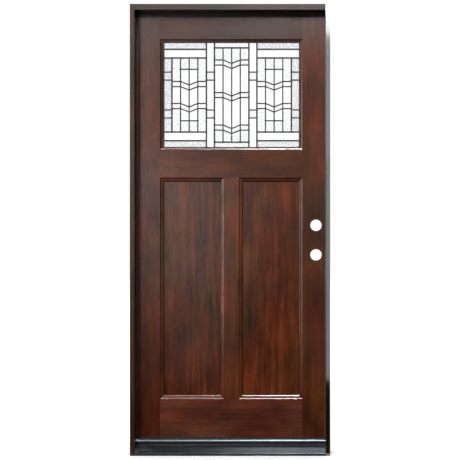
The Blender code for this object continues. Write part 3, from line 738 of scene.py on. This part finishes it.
    def solder_mesh(self, places: Array) -> tuple[Array, Faces]:
        """Flat drops of solder on both sides of each joint. The radius wavers twice and three
        times around, and every ring of a drop has its share of the radius and of the height.

        Args:
            places: joints, (n, 2) as x and z.

        Returns:
            The vertices (v, 3) and the faces.
        """
        rng = np.random.default_rng(7)
        angles = np.arange(self.solder_points) * 2 * math.pi / self.solder_points
        sides = np.repeat([1.0, -1.0], len(places))[:, None, None]
        spots = np.vstack([places, places])
        phase = rng.uniform(0, 2 * math.pi, (len(spots), 2, 1))
        size = self.solder_radius * rng.uniform(*self.solder_spread, (len(spots), 1))
        twice, thrice = (
            share * np.sin(turns * angles + phase[:, turns - 2])
            for turns, share in enumerate(self.solder_wavers, 2)
        )
        radius = size * (1 + twice + thrice)
        ring = radius[:, None, :] * np.array(self.solder_rings)[None, :, None]
        lift = self.solder_height * np.array(self.solder_lifts)
        height = (self.came_thickness / 2 - self.crown / 2 + lift)[None, :, None]
        points = np.empty((*ring.shape, 3))
        points[..., 0] = self.centre.x + spots[:, 0, None, None] + ring * np.cos(angles)
        points[..., 1] = self.centre.y - sides * height
        points[..., 2] = self.centre.z + spots[:, 1, None, None] + sides * ring * np.sin(angles)
        faces = tube_faces(len(self.solder_rings), self.solder_points, len(spots), flip=True)
        return points.reshape(-1, 3), faces

    def add_cames(self, finish: Material) -> Piece:
        """Makes the cames, and solder on each place where their ends meet. They stand for the
        leaded_came node.

        Args:
            finish: the metal of both.

        Returns:
            The object.
        """
        fine, heavy = self.bars()
        half_came = self.came_width / 2
        inner_x, inner_z = self.half_width - half_came, self.half_height - half_came
        outer_x, outer_z = self.high.x, self.high.z - self.centre.z
        rim_x, rim_z = (inner_x + outer_x) / 2, (inner_z + outer_z) / 2
        sides = np.array([(s * rim_x, -outer_z, s * rim_x, outer_z) for s in (-1, 1)])
        ends = np.array([(-rim_x, s * rim_z, rim_x, s * rim_z) for s in (-1, 1)])
        mesh = MeshParts()
        for bars, width in (
            (fine, self.came_width),
            (heavy, self.heavy_width),
            (sides, outer_x - inner_x),
            (ends, outer_z - inner_z),
        ):
            mesh.join(*self.came_mesh(bars, width))
        meets = np.vstack([fine, heavy]).reshape(-1, 2)
        keys = np.round(meets / self.joint_reach).astype(int)
        _, first = np.unique(keys, axis=0, return_index=True)
        mesh.join(*self.solder_mesh(meets[np.sort(first)]))
        piece = mesh.piece("came_network", finish)
        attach(piece, "door_leaf")
        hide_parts("leaded_came")
        return piece

    def panes(self) -> list[tuple[GlassKind, tuple[float, ...]]]:
        """Every cut piece of glass, with its corners on the cames' centre lines.

        Returns:
            For each piece its kind, and its left, right, low at left, low at right, high at left
            and high at right.
        """
        panes = []
        for index, (left, right, end, levels) in enumerate(self.columns()):
            rows = [(-end, -end), *levels, (end, end)]
            for row, (low, high) in enumerate(zip(rows, rows[1:])):
                odd, end_row = row % 2 == 1, row in (0, len(rows) - 2)
                seedy = odd if index in self.strips else end_row
                seedy = seedy or (odd and index in self.middle_field)
                kind = GlassKind.SEEDY if seedy else GlassKind.CLEAR
                if index in self.borders:
                    kind = GlassKind.ROLLED
                panes.append((kind, (left, right, *low, *high)))
        for zone, (left, right, heights) in enumerate(self.bands()):
            kinds = [GlassKind.SEEDY] if zone == 1 else [GlassKind.ROLLED, GlassKind.CLEAR]
            for kind, outer, inner in zip(kinds, heights, heights[1:]):
                panes.append((kind, (left, right, inner, inner, outer, outer)))
                panes.append((kind, (left, right, -outer, -outer, -inner, -inner)))
        return panes

    def add_glass(self, kind: GlassKind, sheet: Glass) -> Piece:
        """Cuts every piece of one kind: a grid (u, v) over the four corners, with both faces
        lifted by a sum of plane waves and their edges joined.

        Args:
            kind: the kind of glass.
            sheet: the glass of that kind.

        Returns:
            The object with all pieces of that kind.
        """
        rng = np.random.default_rng(list(GlassKind).index(kind) + 3)
        waves = rng.normal(size=(self.wave_count, 2))
        waves = waves / np.linalg.norm(waves, axis=1, keepdims=True)
        waves *= (2 * math.pi / rng.uniform(*self.wave_lengths, self.wave_count))[:, None]
        phase = rng.uniform(0, 2 * math.pi, (2, self.wave_count))
        swell = math.sqrt(self.wave_count / 2)
        cover = self.heart / 2 + self.glass_play
        half = self.glass_thickness / 2
        mesh = MeshParts()
        cuts = [corners for made_of, corners in self.panes() if made_of is kind]
        for left, right, low_l, low_r, high_l, high_r in cuts:
            across = max(2, math.ceil((right - left) / sheet.pitch) + 1)
            up = max(2, math.ceil((high_l - low_l) / sheet.pitch) + 1)
            u, v = np.meshgrid(np.linspace(0, 1, across), np.linspace(0, 1, up))
            x = left + cover + (right - left - 2 * cover) * u
            low = low_l + (low_r - low_l) * u + cover
            high = high_l + (high_r - high_l) * u - cover
            flat = np.column_stack([x.ravel(), (low + (high - low) * v).ravel()])
            grids = []
            for side, depth in enumerate((-half, half)):
                ripple = np.sin(flat @ waves.T + phase[side]).sum(1) * sheet.wave / swell
                grid = np.column_stack([flat[:, 0], depth + ripple, flat[:, 1]])
                grids.append(grid + self.centre)
            mesh.join(np.vstack(grids), plate_faces(across, up))
        piece = mesh.piece(kind.value, sheet.dress())
        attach(piece, "door_leaf")
        return piece

    def build(self) -> list[Piece]:
        """Makes the whole light.

        Returns:
            Its pieces.
        """
        dull, worn = (0.0045, 0.0045, 0.0060), (0.0140, 0.0140, 0.0175)
        patina = Metal("came_patina", dull, worn, 0.30, 0.45, 1.0, specular=0.2)
        made = [self.add_cames(patina.dress())]
        return made + [self.add_glass(kind, sheet) for kind, sheet in SHEETS.items()]


@dataclass
class HingeScrews:
    """Flat-headed screws with a cross recess, per_leaf of them in each hinge leaf."""

    head_radius: float = 0.0043
    shank_radius: float = 0.0021
    tip_radius: float = 0.0001
    head_depth: float = 0.0021
    length: float = 0.0024
    dome: float = 0.00015
    recess_half_width: float = 0.00045
    recess_flare: float = 0.0002
    recess_reach: float = 0.0024
    recess_depth: float = 0.0012
    recess_rise: float = 0.5
    per_leaf: int = 4
    end_room: float = 0.014
    stagger: float = 0.0065
    standoff: float = 0.0069
    gap: float = 0.003
    eye: float = 0.04
    rings: int = 9
    around: int = 40

    def head(self) -> tuple[Array, Faces]:
        """One screw on the +X axis with its face at x = 0: rings of radius r around the axis,
        lifted by dome * (1 - r^2 / R^2) and sunk where a point lies in one of the two crossing
        slots, which are wider and deeper towards the axis.

        Returns:
            The vertices (v, 3) and the faces.
        """
        angles = np.arange(self.around) * 2 * math.pi / self.around
        r = np.linspace(self.eye, 1.0, self.rings)[:, None] * self.head_radius
        y, z = r * np.cos(angles), r * np.sin(angles)
        slot_width = self.recess_half_width + self.recess_flare * (1 - r / self.head_radius)
        slot = np.minimum(np.abs(y), np.abs(z)) < slot_width
        depth = self.recess_depth * (1 - self.recess_rise * r / self.recess_reach)
        sink = np.where(slot & (r < self.recess_reach), depth, 0.0)
        x = self.dome * (1 - (r / self.head_radius) ** 2) - sink
        depths = np.array([self.head_depth, self.length, self.length])[:, None]
        radii = np.array([self.shank_radius, self.shank_radius, self.tip_radius])[:, None]
        x = np.vstack([x, np.repeat(-depths, self.around, axis=1)])
        y = np.vstack([y, radii * np.cos(angles)])
        z = np.vstack([z, radii * np.sin(angles)])
        points = np.stack([x, y, z], -1).reshape(-1, 3)
        return points, tube_faces(len(x), self.around, flip=True)

    def build(self, finish: Material) -> list[Piece]:
        """Sets the screws of each hinge leaf as one piece.

        Args:
            finish: the hinge metal.

        Returns:
            The pieces.
        """
        points, faces = self.head()
        made = []
        for number in HINGES:
            pin_low, pin_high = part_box(f"hinge_pin_{number}")
            leaf_low, leaf_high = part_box(f"hinge_door_leaf_{number}")
            pin = (pin_low + pin_high) / 2
            pitch = (leaf_high.z - leaf_low.z - 2 * self.end_room) / (self.per_leaf - 1)
            middle = (leaf_low.y + pin.y - self.standoff) / 2
            for side, part, body in ((1, "door", "door_leaf"), (-1, "frame", "door_frame")):
                mesh = MeshParts()
                for row in range(self.per_leaf):
                    across = middle + (self.stagger if row % 2 else -self.stagger)
                    up = leaf_low.z + self.end_room + row * pitch
                    place = np.array((pin.x + side * self.gap / 2, across, up))
                    mesh.join(points * np.array((-side, 1.0, -side)) + place, faces)
                piece = mesh.piece(f"hinge_{part}_screws_{number}", finish)
                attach(piece, body)
                made.append(piece)
        return made


def paint(node: str, material: Material) -> None:
    """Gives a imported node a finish.

    Args:
        node: the node's name.
        material: the finish.
    """
    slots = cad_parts[node].data.materials
    slots.clear()
    slots.append(material)
    LOG.info("dressed %s with %s", node, material.name)


@dataclass
class DoorLeaf:
    """The timber of the leaf: stiles, rails, mullion, panels and glazing stops.

    Each member is named with its tone. Boards are numbered from first_boards on: the upright
    ones, the level ones and the panels.
    """

    upright: Tones = (
        ("hinge_stile", 0.86),
        ("lock_stile", 1.12),
        ("mullion", 1.36),
        ("glazing_stop_left", 1.0),
        ("glazing_stop_right", 1.0),
    )
    level: Tones = (
        ("top_rail", 0.66),
        ("lock_rail", 1.0),
        ("bottom_rail", 1.32),
        ("glazing_stop_top", 1.0),
        ("glazing_stop_bottom", 1.0),
    )
    panels: Tones = (("left_panel", 0.94), ("right_panel", 1.12))
    first_boards: tuple[int, int, int] = (11, 31, 51)
    sticking: float = 0.0185
    glass_sticking: float = 0.0115
    groove: float = 0.0085
    # panel_line, foot_line and foot_depths size the bands of painted shade.
    panel_line: float = 0.0022
    foot_line: float = 0.002
    foot_depths: Pair = (0.0022, 0.0046)
    glue_film: float = 0.00018
    glue_inset: float = 0.0014

    def member_quirks(self) -> Quirks:
        """Painted shade at the foot of the sticking: close to the panels' faces, round the
        openings.

        Returns:
            The bands across, through and up the leaf.
        """
        low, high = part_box("left_panel")
        depth = (high.y - low.y) / 2
        stile, rail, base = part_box("lock_stile"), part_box("top_rail"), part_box("bottom_rail")
        bottom, top = base[1].z, rail[0].z
        side, up = stile[0].x + self.sticking, (top - bottom) / 2 + self.foot_line
        near, far = (depth + reach for reach in self.foot_depths)
        return Quirks(
            (
                (0.0, side, side + self.foot_line),
                ((low.y + high.y) / 2, near, far),
                ((bottom + top) / 2, up, up + self.foot_line),
            ),
            every=True,
        )

    def panel_quirks(self, node: str) -> Quirks:
        """Painted shade along the edge of a panel, where it meets the sticking.

        Args:
            node: the panel.

        Returns:
            The bands across and up the panel.
        """
        low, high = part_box(node)
        middle, line = (low + high) / 2, self.panel_line
        across, up = (high.x - low.x) / 2 - self.groove, (high.z - low.z) / 2 - self.groove
        return Quirks(
            ((middle.x, across, across - line), None, (middle.z, up, up - line)), every=False
        )

    def add_glue(self) -> Piece:
        """Adds the thin dark glue lines between the stiles, the rails and the mullion.

        Each line is a sheet of glue_film thickness, set back glue_inset from the faces.

        Returns:
            The piece.
        """
        low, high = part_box("hinge_stile")
        through = (low.y + self.glue_inset, high.y - self.glue_inset)
        joint, half = high.x - self.sticking, self.glue_film / 2
        sheets = []
        for node, foot, head in (
            ("top_rail", self.glass_sticking, self.glue_inset),
            ("lock_rail", self.sticking, self.glass_sticking),
            ("bottom_rail", self.glue_inset, self.sticking),
        ):
            low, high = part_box(node)
            for side in (joint, -joint):
                across = (side - half, side + half)
                sheets.append((across, through, (low.z + foot, high.z - head)))
        low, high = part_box("mullion")
        across = (low.x + self.sticking, high.x - self.sticking)
        below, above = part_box("bottom_rail")[1].z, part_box("lock_rail")[0].z
        for level in (below - self.sticking, above + self.sticking):
            sheets.append((across, through, (level - half, level + half)))
        sides = [(0, 1, 3, 2), (4, 6, 7, 5), (0, 4, 5, 1), (2, 3, 7, 6), (0, 2, 6, 4), (1, 5, 7, 3)]
        mesh = MeshParts()
        for sheet in sheets:
            mesh.join(np.array(list(product(*sheet))), sides)
        glue = Moulded("joint_glue", (0.014, 0.007, 0.004), 0.6, 300.0, 0.0001).dress()
        piece = mesh.piece("joint_glue", glue, smooth=False)
        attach(piece, "door_leaf")
        return piece

    def dress(self) -> None:
        """Gives each member its own board and tone."""
        rail = Timber(
            light=(0.122, 0.0300, 0.0095),
            middle=(0.080, 0.0195, 0.0063),
            dark=(0.046, 0.0118, 0.0042),
            quirks=self.member_quirks(),
        )
        # The bottom rail's stain has more green and blue than the other rails: a painted sheen.
        rail_with_painted_sheen = replace(
            rail,
            light=(0.122, 0.0310, 0.0150),
            middle=(0.080, 0.0210, 0.0108),
            dark=(0.046, 0.0125, 0.0068),
        )
        panel = Timber(band_scale=52.0, band_weight=0.42, streak_weight=0.22, cloud_weight=0.36)
        groups = (
            (self.upright, Grain.UPRIGHT), (self.level, Grain.LEVEL), (self.panels, Grain.UPRIGHT)
        )
        for first, (members, grain) in zip(self.first_boards, groups):
            for board, (node, tone) in enumerate(members, first):
                timber = rail_with_painted_sheen if node == "bottom_rail" else rail
                if members is self.panels:
                    timber = replace(panel, quirks=self.panel_quirks(node))
                paint(node, timber.dress(f"{node}_wood", grain, board, tone))


@dataclass
class DoorFrame:
    """The jambs and head, the threshold and the seals."""

    warm: Timber = Timber(
        (0.078, 0.029, 0.0165), (0.055, 0.021, 0.0120), (0.034, 0.013, 0.0078), specular=0.16
    )
    deep: Timber = Timber(
        (0.026, 0.010, 0.0060),
        (0.017, 0.0065, 0.0040),
        (0.010, 0.0040, 0.0026),
        specular=0.08,
        coat=1.0,
        coat_ior=2.3,
    )
    even: Timber = Timber(
        (0.034, 0.014, 0.0095), (0.024, 0.010, 0.0070), (0.015, 0.0065, 0.0045), specular=0.21
    )
    deck: Metal = Metal(
        "deck_anodised", (0.014, 0.018, 0.021), (0.020, 0.024, 0.027), 0.9, 0.29, 0.02
    )
    cap: Metal = Metal(
        "cap_enamel", (0.034, 0.042, 0.049), (0.045, 0.054, 0.062), 0.90, 0.33, 0.05, coat=0.11
    )
    base: Moulded = Moulded("sill_composite", (0.012, 0.012, 0.013), 0.55, 260.0, 0.0002)
    seal: Moulded = Moulded("seal_rubber", (0.014, 0.012, 0.011), 0.62, 700.0, 0.0001, 0.3)
    seals: tuple[str, ...] = (
        "hinge_side_weatherstrip", "lock_side_weatherstrip", "head_weatherstrip", "door_sweep"
    )

    def dress(self) -> None:
        """Gives the frame's nodes their finishes."""
        paint("hinge_jamb", self.warm.dress("hinge_jamb_wood", Grain.UPRIGHT, 71))
        paint("lock_jamb", self.deep.dress("lock_jamb_wood", Grain.UPRIGHT, 72))
        paint("head_jamb", self.even.dress("head_jamb_wood", Grain.LEVEL, 73))
        paint("sill_deck", self.deck.dress())
        paint("sill_cap", self.cap.dress())
        paint("sill_base", self.base.dress())
        rubber = self.seal.dress()
        for node in self.seals:
            paint(node, rubber)


@dataclass
class Hardware:
    """The hinges and the glazing's metal and panes."""

    bronze: Metal = Metal(
        "hinge_bronze", (0.040, 0.028, 0.020), (0.085, 0.058, 0.038), 0.9, 0.36, 1.0
    )
    spacer: Metal = Metal(
        "spacer_steel", (0.020, 0.020, 0.021), (0.045, 0.045, 0.047), 0.6, 0.45, 1.0
    )
    pane: Glass = Glass("pane_float", UNIT, (0.99, 0.995, 0.992), 9.0, 0.01, 0.0)

    def dress(self) -> Material:
        """Gives hinges, spacers and panes their finishes.

        Returns:
            The hinge metal, for the screws.
        """
        bronze = self.bronze.dress()
        for number in HINGES:
            for part in ("hinge_frame_leaf", "hinge_door_leaf", "hinge_pin"):
                paint(f"{part}_{number}", bronze)
        for part, finish in (("spacer", self.spacer.dress()), ("pane", self.pane.dress())):
            paint(f"outer_{part}", finish)
            paint(f"inner_{part}", finish)
        return bronze


@dataclass(frozen=True)
class Softbox:
    """A rectangular lamp that the camera doesn't see.

    Its radiance is the brightness of its face, where the backdrop has about 1. Without a target
    it faces the door squarely.
    """

    name: str
    place: Place
    size: Pair
    radiance: float
    target: Place | None = None
    diffuse: bool = False
    glossy: bool = True

    def hang(self) -> None:
        """Puts the lamp in its place, turned to its target."""
        data = bpy.data.lights.new(self.name, "AREA")
        data.shape = "RECTANGLE"
        data.size, data.size_y = self.size
        data.energy = self.radiance * math.pi * self.size[0] * self.size[1]
        lamp = bpy.data.objects.new(self.name, data)
        lamp.location = self.place
        target = Vector(self.target or (self.place[0], 0.0, self.place[2]))
        lamp.rotation_euler = (target - Vector(self.place)).to_track_quat("-Z", "Y").to_euler()
        lamp.visible_camera = False
        lamp.visible_diffuse = self.diffuse
        lamp.visible_glossy = self.glossy
        lamp.visible_transmission = False
        bpy.context.scene.collection.objects.link(lamp)


MIDDLE: Place = (0.0, 0.0, 1.0)
SOFTBOXES = (
    Softbox("key_box", (-2.4, -9.0, 6.0), (2.3, 2.3), 48.0, MIDDLE, diffuse=True, glossy=False),
    Softbox("sheen_top", (-0.28, -3.6, 3.58), (2.06, 1.64), 5.2),
    Softbox("sheen_side", (-1.58, -3.6, 2.22), (1.26, 1.96), 5.4),
    Softbox("sheen_side_low", (-1.25, -3.6, 0.74), (0.70, 1.0), 2.1),
    Softbox("sheen_right", (0.41, -3.6, 2.20), (0.18, 1.04), 2.2),
    Softbox("sheen_low", (-0.67, -3.6, 1.10), (0.54, 1.20), 4.2),
    Softbox("sheen_middle", (-0.31, -3.6, 1.10), (0.18, 1.20), 1.3),
    Softbox("sheen_rail", (0.07, -3.6, 1.35), (0.56, 0.70), 0.9),
    Softbox("sheen_foot", (-0.42, -1.8, 0.27), (0.42, 0.46), 1.2),
    Softbox("edge_strip", (-4.2, -2.2, 1.3), (1.4, 3.0), 20.0, MIDDLE),
    Softbox("sill_strip_1", (0.20, -1.6, 4.0), (0.52, 1.75), 205.0, (0.20, 0.0, 0.05)),
    Softbox("sill_strip_2", (-0.20, -1.6, 4.0), (0.28, 1.75), 13.0, (-0.20, 0.0, 0.05)),
    Softbox("sill_strip_3", (-0.56, -1.6, 4.0), (0.44, 1.75), 1.2, (-0.56, 0.0, 0.05)),
    Softbox("lock_jamb_card", (0.515, -1.8, 1.55), (0.07, 3.0), 1.35),
    Softbox("head_card", (0.23, -1.8, 2.54), (0.64, 0.08), 14.0),
    Softbox("floor_wash", (0.0, 6.0, 5.5), (14.0, 8.0), 0.8, (0.0, 6.0, 0.0), diffuse=True),
)


@dataclass
class Studio:
    """Pale floor, bright backdrop, softboxes and the camera.

    A sky step is a direction's axis, the start and end of its rise, and its brightness beyond.
    """

    camera_distance: float = 4.058
    camera_height: float = 1.0469
    camera_side: float = 0.35
    focal_pixels: float = 863.0
    image_pixels: float = 460.0
    sensor: float = 36.0
    floor_half: float = 30.0
    floor_drop: float = 0.0005
    paper: Pair = (0.86, 0.88)
    sky_steps: tuple[tuple[int, float, float, float], ...] = (
        (1, 0.05, 0.75, 1.30), (2, 0.35, 0.80, 1.60)
    )
    front_fill: float = 0.06
    white: float = 1.02
    white_through_glass: float = 1.13
    flag_half: float = 14.0
    flag_depth: Pair = (-29.0, -0.062)
    flag_height: float = 0.01
    felt: Colour = (0.002, 0.002, 0.002)
    boxes: tuple[Softbox, ...] = SOFTBOXES

    def camera(self) -> None:
        """Looks level at the outdoor side from the photograph's distance and height. The eye
        stands a little to the lock side, and the lens is shifted back by as much in the image."""
        data = bpy.data.cameras.new("camera")
        data.sensor_width = self.sensor
        data.lens = self.focal_pixels / self.image_pixels * self.sensor
        eye = bpy.data.objects.new("camera", data)
        eye.location = (self.camera_side, -self.camera_distance, self.camera_height)
        away = self.camera_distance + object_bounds()[0][1]
        data.shift_x = -self.camera_side * self.focal_pixels / away / self.image_pixels
        eye.rotation_euler = (math.radians(90.0), 0.0, 0.0)
        bpy.context.scene.collection.objects.link(eye)
        bpy.context.scene.camera = eye

    def lay(
        self, graph: Finish, half: float, depth: Pair, height: float, name: str
    ) -> Piece:
        """Lays a level sheet.

        Args:
            graph: its finish.
            half: half of its width.
            depth: its front and back edge on Y.
            height: its place on Z.
            name: the object's name.

        Returns:
            The object.
        """
        front, back = depth
        corners = ((-half, front), (half, front), (half, back), (-half, back))
        mesh = MeshParts()
        mesh.join(np.array([(x, y, height) for x, y in corners]), [[0, 1, 2, 3]])
        return mesh.piece(name, graph.material, smooth=False)

    def floor(self) -> None:
        """A pale floor just under the threshold."""
        graph = Finish("floor_paper")
        tone = graph.noise(graph.place(UNIT), 0.8, 2.0)
        greys = [(grey, grey, grey) for grey in self.paper]
        paper = graph.ramp(tone, list(zip(NOISE_RANGE, greys)))
        graph.set(Base_Color=paper, Roughness=0.9, Specular_IOR_Level=0.0)
        depth = (-self.floor_half, self.floor_half)
        floor = self.lay(graph, self.floor_half, depth, -self.floor_drop, "studio_floor")
        floor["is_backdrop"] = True

    def sky(self) -> None:
        """Even light that grows from the dim front of the studio to the backdrop and the ceiling:
        the brighter of two smooth steps, one on the direction's Y and one on its Z. Seen straight
        or through glass, it is an even white all round."""
        world = bpy.data.worlds.new("studio_sky")
        world.use_nodes = True
        bpy.context.scene.world = world
        graph = Graph(world.node_tree)
        axes = graph.add("SeparateXYZ", (graph.add("TexCoord").outputs["Generated"],)).outputs
        fill, smooth = self.front_fill, {"interpolation_type": "SMOOTHSTEP"}
        steps = [
            graph.span(axes[axis], start, end, fill, bright, **smooth)
            for axis, start, end, bright in self.sky_steps
        ]
        level = graph.math("MAXIMUM", *steps)
        rays = graph.add("LightPath").outputs
        level = graph.span(rays["Is Transmission Ray"], 0.0, 1.0, level, self.white_through_glass)
        level = graph.span(rays["Is Camera Ray"], 0.0, 1.0, level, self.white)
        background = graph.tree.nodes["Background"].inputs
        graph.feed(background["Strength"], level)
        graph.feed(background["Color"], UNIT)

    def flag(self) -> None:
        """A black flag on the floor in front of the door, which keeps the floor's light off its
        face. The camera doesn't see it, and light passes it from below."""
        graph = Finish("flag_felt")
        graph.set(Base_Color=self.felt, Specular_IOR_Level=0.0, Roughness=1.0)
        behind = graph.add("NewGeometry").outputs["Backfacing"]
        clear = graph.add("BsdfTransparent").outputs[0]
        one_sided = graph.add("MixShader", (behind, graph.shader.outputs[0], clear))
        graph.feed(graph.tree.nodes["Material Output"].inputs["Surface"], one_sided.outputs[0])
        flag = self.lay(graph, self.flag_half, self.flag_depth, self.flag_height, "studio_flag")
        for ray in ("camera", "transmission", "volume_scatter", "shadow"):
            setattr(flag, f"visible_{ray}", False)
        flag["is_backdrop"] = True

    def build(self) -> None:
        """Sets up the whole studio."""
        bpy.context.scene.view_settings.view_transform = "Standard"
        self.camera()
        self.floor()
        self.flag()
        self.sky()
        for box in self.boxes:
            box.hang()


def main() -> None:
    """Dresses the door, builds its light, glue lines and screws, and sets up the studio."""
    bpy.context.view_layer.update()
    leaf = DoorLeaf()
    leaf.dress()
    leaf.add_glue()
    DoorFrame().dress()
    bronze = Hardware().dress()
    for piece in LeadedLight().build() + HingeScrews().build(bronze):
        LOG.info("made %s, %d faces", piece.name, len(piece.data.polygons))
    Studio().build()


if __name__ == "__main__":
    logging.basicConfig(level=logging.INFO, format="%(message)s")
    main()
